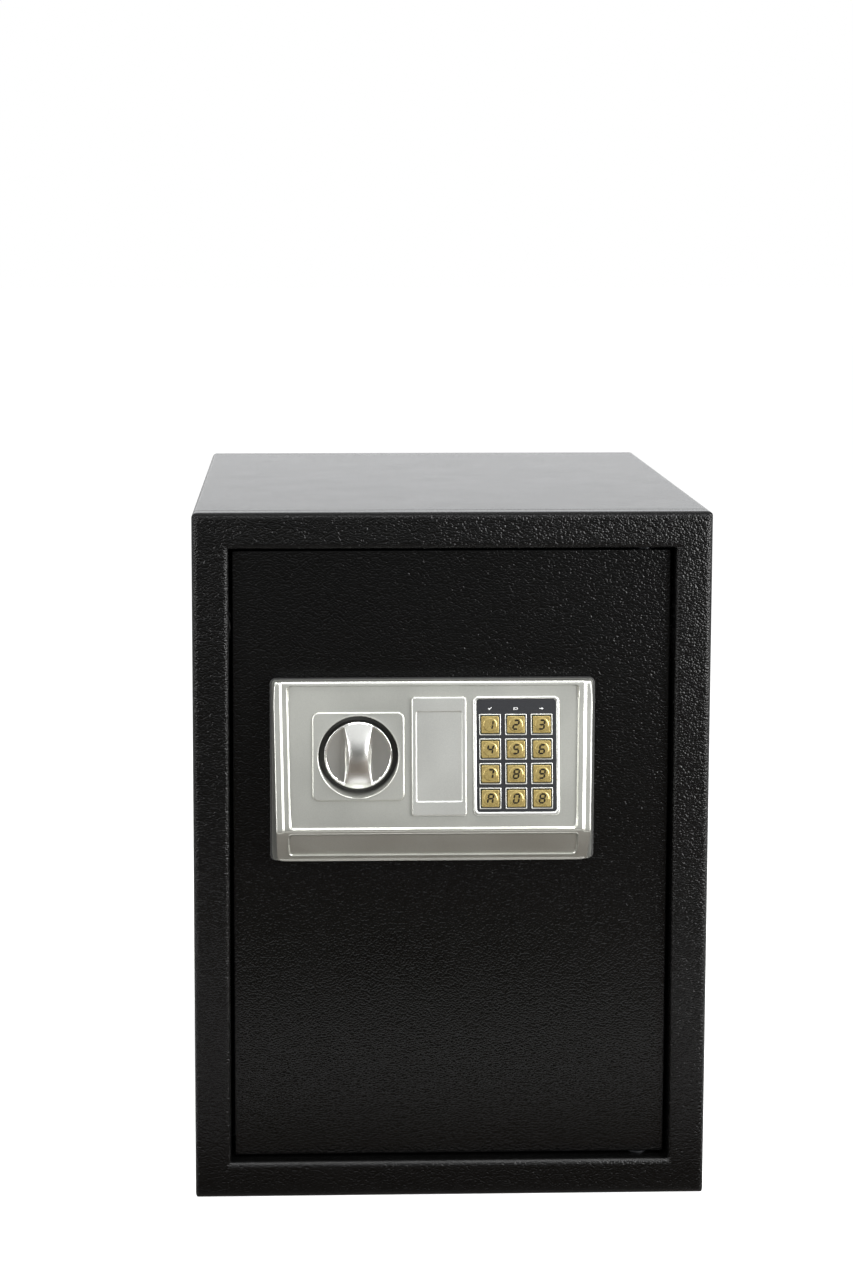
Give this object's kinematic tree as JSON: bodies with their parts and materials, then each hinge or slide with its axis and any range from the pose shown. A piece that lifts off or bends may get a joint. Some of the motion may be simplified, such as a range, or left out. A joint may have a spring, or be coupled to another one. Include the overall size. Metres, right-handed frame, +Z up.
{
  "type": "electronic safe",
  "caption": "Upright steel safe with a recessed hinged door, a turning knob, a keypad on a wedge-shaped control panel and two sliding bolts.",
  "frame": {"origin": "bottom centre of the bounding box, on the floor plane under the cabinet", "axes": "+Z up, the door and control panel face -Y, +X to the right as seen from the front (the hinge side)"},
  "size_m": [0.35, 0.355, 0.475],
  "materials": {
    "body_paint": "textured black powder coat",
    "door_paint": "textured black powder coat",
    "inside_paint": "textured dark powder coat",
    "felt": "dark felt",
    "dark_base": "grained dark grey",
    "silver_shell": "satin silver paint on plastic",
    "knob_silver": "silver paint on plastic, semi-gloss",
    "key_gold": "satin gold",
    "overlay_dark": "printed film",
    "surround_silver": "satin silver",
    "lamp": "clear lamp tips",
    "zinc_steel": "bright zinc plate",
    "bolt_steel": "turned and polished",
    "board_green": "printed circuit laminate",
    "coil_wire": "wound enamelled wire under varnish",
    "cover_grey": "satin dark grey",
    "battery_black": "moulded black",
    "cell_wrap": "plain printed sleeve",
    "contact_metal": "nickel plate",
    "button_red": "moulded red"
  },
  "bodies": {
    "cabinet": {"body_wrap": "body_paint", "front_frame": "body_paint", "back_panel": "body_paint", "hinge_bushes": "zinc_steel", "shelf_ledges": "inside_paint", "floor_mat": "felt"},
    "shelf": {"shelf": "inside_paint"},
    "door": {"door_panel": "door_paint", "hinge_blocks": "zinc_steel", "hinge_pins": "zinc_steel", "panel_band": "dark_base", "fascia": "silver_shell", "fascia_screws": "zinc_steel", "keypad_overlay": "overlay_dark", "key_surrounds": "surround_silver", "indicator_lights": "lamp", "keypad_board": "board_green", "lock_barrel": "zinc_steel", "lock_nut": "zinc_steel", "knob_bush": "zinc_steel", "bolt_guides": "zinc_steel", "carriage_posts": "zinc_steel", "solenoid_frame": "zinc_steel", "solenoid_coil": "coil_wire", "plunger_spring": "bolt_steel", "inner_cover": "cover_grey", "cover_screws": "zinc_steel", "battery_box": "battery_black", "battery_cells": "cell_wrap", "battery_contacts": "contact_metal", "reset_switch": "battery_black"},
    "knob": {"knob": "knob_silver", "knob_shaft": "zinc_steel", "crank": "zinc_steel"},
    "bolt_carriage": {"bolt_carriage": "zinc_steel", "locking_bolts": "bolt_steel", "bolt_nuts": "zinc_steel"},
    "plunger": {"plunger": "bolt_steel"},
    "override_cover": {"override_cover": "silver_shell"},
    "lock_plug": {"lock_plug": "bolt_steel", "lock_cam": "zinc_steel"},
    "battery_lid": {"battery_lid": "battery_black"},
    "reset_button": {"reset_button": "button_red"},
    "key_1": {"key_1": "key_gold"},
    "key_2": {"key_2": "key_gold"},
    "key_3": {"key_3": "key_gold"},
    "key_4": {"key_4": "key_gold"},
    "key_5": {"key_5": "key_gold"},
    "key_6": {"key_6": "key_gold"},
    "key_7": {"key_7": "key_gold"},
    "key_8": {"key_8": "key_gold"},
    "key_9": {"key_9": "key_gold"},
    "key_a": {"key_a": "key_gold"},
    "key_0": {"key_0": "key_gold"},
    "key_b": {"key_b": "key_gold"}
  },
  "joints": [
    {"name": "door_hinge", "type": "hinge", "parent": "cabinet", "child": "door", "pos_m": [0.13094, -0.145, 0.2375], "axis": [0, 0, 1], "range_deg": [0, 100]},
    {"name": "knob_turn", "type": "hinge", "parent": "door", "child": "knob", "pos_m": [-0.0635, -0.1625, 0.3107], "axis": [0, -1, 0], "range_deg": [0, 90]},
    {"name": "bolt_slide", "type": "slide", "parent": "door", "child": "bolt_carriage", "axis": [-1, 0, 0], "range_m": [0, 0.018]},
    {"name": "plunger_drop", "type": "slide", "parent": "door", "child": "plunger", "axis": [0, 0, 1], "range_m": [-0.004, 0], "stiffness_N_per_m": 120, "springref_m": 0.004, "deforming": ["plunger_spring"]},
    {"name": "override_cover_pull", "type": "slide", "parent": "door", "child": "override_cover", "axis": [0, -0.9901, 0.1407], "range_m": [0, 0.03]},
    {"name": "lock_plug_turn", "type": "hinge", "parent": "door", "child": "lock_plug", "pos_m": [-0.0092, -0.1625, 0.3107], "axis": [0, 1, 0], "range_deg": [0, 90]},
    {"name": "battery_lid_slide", "type": "slide", "parent": "door", "child": "battery_lid", "axis": [1, 0, 0], "range_m": [0, 0.066]},
    {"name": "reset_press", "type": "slide", "parent": "door", "child": "reset_button", "axis": [0, -1, 0], "range_m": [0, 0.0015], "stiffness_N_per_m": 300},
    {"name": "shelf_lift", "type": "slide", "parent": "cabinet", "child": "shelf", "axis": [0, 0, 1], "range_m": [0, 0.02]},
    {"name": "key_1_press", "type": "slide", "parent": "door", "child": "key_1", "axis": [0, 0.9901, -0.1407], "range_m": [0, 0.0006], "stiffness_N_per_m": 400},
    {"name": "key_2_press", "type": "slide", "parent": "door", "child": "key_2", "axis": [0, 0.9901, -0.1407], "range_m": [0, 0.0006], "stiffness_N_per_m": 400},
    {"name": "key_3_press", "type": "slide", "parent": "door", "child": "key_3", "axis": [0, 0.9901, -0.1407], "range_m": [0, 0.0006], "stiffness_N_per_m": 400},
    {"name": "key_4_press", "type": "slide", "parent": "door", "child": "key_4", "axis": [0, 0.9901, -0.1407], "range_m": [0, 0.0006], "stiffness_N_per_m": 400},
    {"name": "key_5_press", "type": "slide", "parent": "door", "child": "key_5", "axis": [0, 0.9901, -0.1407], "range_m": [0, 0.0006], "stiffness_N_per_m": 400},
    {"name": "key_6_press", "type": "slide", "parent": "door", "child": "key_6", "axis": [0, 0.9901, -0.1407], "range_m": [0, 0.0006], "stiffness_N_per_m": 400},
    {"name": "key_7_press", "type": "slide", "parent": "door", "child": "key_7", "axis": [0, 0.9901, -0.1407], "range_m": [0, 0.0006], "stiffness_N_per_m": 400},
    {"name": "key_8_press", "type": "slide", "parent": "door", "child": "key_8", "axis": [0, 0.9901, -0.1407], "range_m": [0, 0.0006], "stiffness_N_per_m": 400},
    {"name": "key_9_press", "type": "slide", "parent": "door", "child": "key_9", "axis": [0, 0.9901, -0.1407], "range_m": [0, 0.0006], "stiffness_N_per_m": 400},
    {"name": "key_a_press", "type": "slide", "parent": "door", "child": "key_a", "axis": [0, 0.9901, -0.1407], "range_m": [0, 0.0006], "stiffness_N_per_m": 400},
    {"name": "key_0_press", "type": "slide", "parent": "door", "child": "key_0", "axis": [0, 0.9901, -0.1407], "range_m": [0, 0.0006], "stiffness_N_per_m": 400},
    {"name": "key_b_press", "type": "slide", "parent": "door", "child": "key_b", "axis": [0, 0.9901, -0.1407], "range_m": [0, 0.0006], "stiffness_N_per_m": 400}
  ],
  "couplings": [
    {"joint": "knob_turn", "follows": "bolt_slide", "rad_per_m": 87.266}
  ]
}
